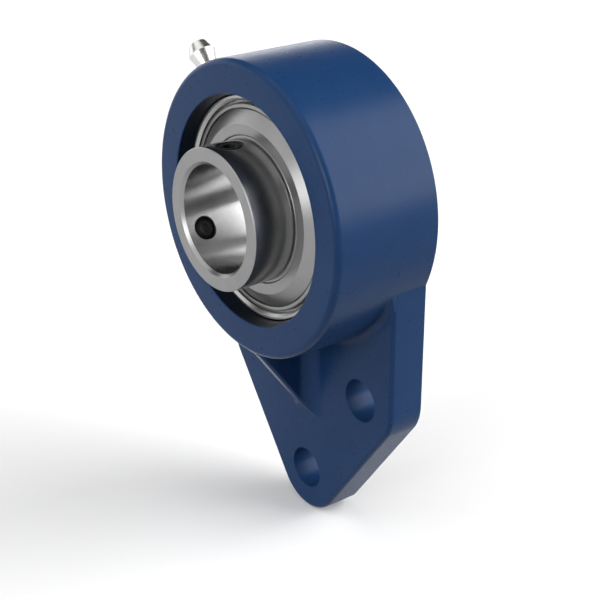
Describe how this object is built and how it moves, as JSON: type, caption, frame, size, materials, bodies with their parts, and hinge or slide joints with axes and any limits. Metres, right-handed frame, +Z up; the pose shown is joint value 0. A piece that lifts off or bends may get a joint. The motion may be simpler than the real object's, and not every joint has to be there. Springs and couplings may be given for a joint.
{
  "type": "flange bearing unit",
  "caption": "Self-aligning insert ball bearing in a painted iron bracket flange, held to a wall by bolts below a round shaft bore, with set screws and a grease nipple.",
  "frame": {"origin": "centre of the bearing's spherical seat, on the shaft axis", "axes": "-Y along the shaft towards the set screw end, +Y towards the wall it is bolted to, +Z up, the flange hanging down"},
  "size_m": [0.079, 0.0414, 0.1361],
  "materials": {
    "housing_paint": "semi-gloss blue enamel over fine cast iron",
    "ring_steel": "ground bearing steel, satin faces and bright bore",
    "ball_steel": "polished bearing balls",
    "pressed_steel": "cold-rolled sheet steel, spun finish",
    "seal_rubber": "matt nitrile rubber",
    "screw_steel": "blackened alloy steel",
    "nipple_zinc": "bright zinc-plated steel"
  },
  "bodies": {
    "bracket": {"housing": "housing_paint", "grease_nipple": "nipple_zinc", "nipple_spring": "ring_steel"},
    "insert": {"outer_ring": "ring_steel", "front_washer": "pressed_steel", "front_lip": "seal_rubber", "rear_washer": "pressed_steel", "rear_lip": "seal_rubber"},
    "rotor": {"inner_ring": "ring_steel", "front_flinger": "pressed_steel", "rear_flinger": "pressed_steel"},
    "cage": {"cage_front": "pressed_steel", "cage_rear": "pressed_steel", "cage_rivets": "pressed_steel"},
    "ball_1_body": {"ball_1": "ball_steel"},
    "ball_2_body": {"ball_2": "ball_steel"},
    "ball_3_body": {"ball_3": "ball_steel"},
    "ball_4_body": {"ball_4": "ball_steel"},
    "ball_5_body": {"ball_5": "ball_steel"},
    "ball_6_body": {"ball_6": "ball_steel"},
    "ball_7_body": {"ball_7": "ball_steel"},
    "ball_8_body": {"ball_8": "ball_steel"},
    "ball_9_body": {"ball_9": "ball_steel"},
    "screw_1_body": {"set_screw_1": "screw_steel"},
    "screw_2_body": {"set_screw_2": "screw_steel"},
    "check_ball_body": {"nipple_ball": "ball_steel"}
  },
  "joints": [
    {"name": "swivel", "type": "hinge", "parent": "bracket", "child": "insert", "pos_m": [0, 0, 0], "axis": [1, 0, 0], "range_deg": [-5, 5]},
    {"name": "shaft_spin", "type": "hinge", "parent": "insert", "child": "rotor", "pos_m": [0, 0, 0], "axis": [0, 1, 0], "continuous": true},
    {"name": "cage_orbit", "type": "hinge", "parent": "insert", "child": "cage", "pos_m": [0, 0, 0], "axis": [0, 1, 0], "continuous": true},
    {"name": "ball_1_spin", "type": "hinge", "parent": "cage", "child": "ball_1_body", "pos_m": [0.01478, 0, 0.01762], "axis": [0, 1, 0], "continuous": true},
    {"name": "ball_2_spin", "type": "hinge", "parent": "cage", "child": "ball_2_body", "pos_m": [0.02265, 0, 0.00399], "axis": [0, 1, 0], "continuous": true},
    {"name": "ball_3_spin", "type": "hinge", "parent": "cage", "child": "ball_3_body", "pos_m": [0.01992, 0, -0.0115], "axis": [0, 1, 0], "continuous": true},
    {"name": "ball_4_spin", "type": "hinge", "parent": "cage", "child": "ball_4_body", "pos_m": [0.00787, 0, -0.02161], "axis": [0, 1, 0], "continuous": true},
    {"name": "ball_5_spin", "type": "hinge", "parent": "cage", "child": "ball_5_body", "pos_m": [-0.00787, 0, -0.02161], "axis": [0, 1, 0], "continuous": true},
    {"name": "ball_6_spin", "type": "hinge", "parent": "cage", "child": "ball_6_body", "pos_m": [-0.01992, 0, -0.0115], "axis": [0, 1, 0], "continuous": true},
    {"name": "ball_7_spin", "type": "hinge", "parent": "cage", "child": "ball_7_body", "pos_m": [-0.02265, 0, 0.00399], "axis": [0, 1, 0], "continuous": true},
    {"name": "ball_8_spin", "type": "hinge", "parent": "cage", "child": "ball_8_body", "pos_m": [-0.01478, 0, 0.01762], "axis": [0, 1, 0], "continuous": true},
    {"name": "ball_9_spin", "type": "hinge", "parent": "cage", "child": "ball_9_body", "pos_m": [0, 0, 0.023], "axis": [0, 1, 0], "continuous": true},
    {"name": "set_screw_1_travel", "type": "slide", "parent": "rotor", "child": "screw_1_body", "axis": [-0.0175, 0, 0.9998], "range_m": [-0.0003, 0.002]},
    {"name": "set_screw_2_travel", "type": "slide", "parent": "rotor", "child": "screw_2_body", "axis": [-0.8572, 0, -0.515], "range_m": [-0.0003, 0.002]},
    {"name": "check_ball_lift", "type": "slide", "parent": "bracket", "child": "check_ball_body", "axis": [-0.7071, 0, 0.7071], "range_m": [-0.0008, 0], "stiffness_N_per_m": 200, "springref_m": 0.001, "deforming": ["nipple_spring"]}
  ],
  "couplings": [
    {"joint": "cage_orbit", "follows": "shaft_spin", "ratio": 0.39647},
    {"joint": "ball_1_spin", "follows": "shaft_spin", "ratio": -2.3112},
    {"joint": "ball_2_spin", "follows": "shaft_spin", "ratio": -2.3112},
    {"joint": "ball_3_spin", "follows": "shaft_spin", "ratio": -2.3112},
    {"joint": "ball_4_spin", "follows": "shaft_spin", "ratio": -2.3112},
    {"joint": "ball_5_spin", "follows": "shaft_spin", "ratio": -2.3112},
    {"joint": "ball_6_spin", "follows": "shaft_spin", "ratio": -2.3112},
    {"joint": "ball_7_spin", "follows": "shaft_spin", "ratio": -2.3112},
    {"joint": "ball_8_spin", "follows": "shaft_spin", "ratio": -2.3112},
    {"joint": "ball_9_spin", "follows": "shaft_spin", "ratio": -2.3112}
  ]
}
